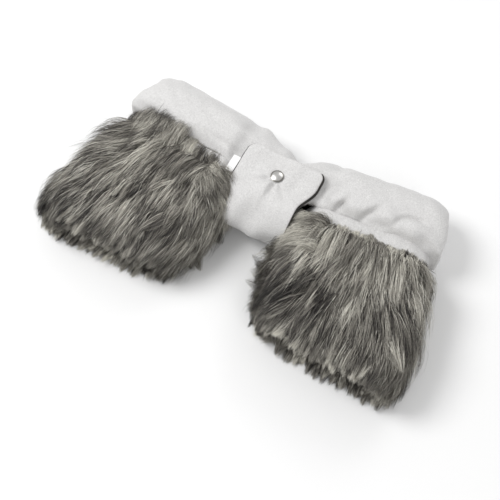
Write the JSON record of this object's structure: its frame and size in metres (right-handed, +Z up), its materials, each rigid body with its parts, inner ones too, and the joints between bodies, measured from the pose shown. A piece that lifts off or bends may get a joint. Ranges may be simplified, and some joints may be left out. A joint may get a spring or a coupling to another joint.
{
  "type": "hand warmer muff",
  "caption": "Padded hand muff for a pram handlebar: two splayed pouches with deep fur cuffs, joined by a pinched bridge that a press-stud flap closes round the bar.",
  "frame": {"origin": "on the ground under the middle of the bounding box; the muff lies on its back panel", "axes": "+X along the handlebar, from the left pouch to the right one; +Y towards the closed folds, away from the hand openings; +Z up, towards the press stud"},
  "size_m": [0.5144, 0.2636, 0.086],
  "materials": {
    "outer_fabric": "light grey melange weave, matt",
    "wadding": "loose polyester wadding",
    "inner_lining": "short pile fleece",
    "dark_lining": "charcoal short pile, matt",
    "fur": "long pile faux fur, grey-brown with pale roots and dark tips",
    "snap_metal": "nickel plated, satin",
    "spring_wire": "drawn wire",
    "label_tape": "white woven satin tape"
  },
  "bodies": {
    "muff": {"bridge_shell": "outer_fabric", "bridge_wadding": "wadding", "bridge_lining": "inner_lining", "front_wall_shell": "outer_fabric", "front_wall_lining": "dark_lining", "snap_post": "snap_metal", "snap_stud": "snap_metal", "left_shell": "outer_fabric", "left_wadding": "wadding", "left_lining": "inner_lining", "right_shell": "outer_fabric", "right_wadding": "wadding", "right_lining": "inner_lining"},
    "flap": {"flap_shell": "outer_fabric", "flap_lining": "dark_lining", "snap_cap": "snap_metal", "snap_socket": "snap_metal", "snap_spring": "spring_wire"},
    "label": {"side_label": "label_tape"},
    "left_cuff": {"left_cuff_fur": "fur", "left_cuff_hem": "outer_fabric"},
    "right_cuff": {"right_cuff_fur": "fur", "right_cuff_hem": "outer_fabric"}
  },
  "joints": [
    {"name": "flap_fold", "type": "hinge", "parent": "muff", "child": "flap", "pos_m": [0, -0.00995, 0.07342], "axis": [1, 0, 0], "range_deg": [0, 150]},
    {"name": "label_fold", "type": "hinge", "parent": "flap", "child": "label", "pos_m": [-0.0539, 0.0345, 0.0819], "axis": [0, 1, 0], "range_deg": [-25, 90]},
    {"name": "left_cuff_pull", "type": "slide", "parent": "muff", "child": "left_cuff", "axis": [-0.1822, -0.9833, 0], "range_m": [0, 0.045]},
    {"name": "right_cuff_pull", "type": "slide", "parent": "muff", "child": "right_cuff", "axis": [0.1822, -0.9833, 0], "range_m": [0, 0.045]}
  ]
}
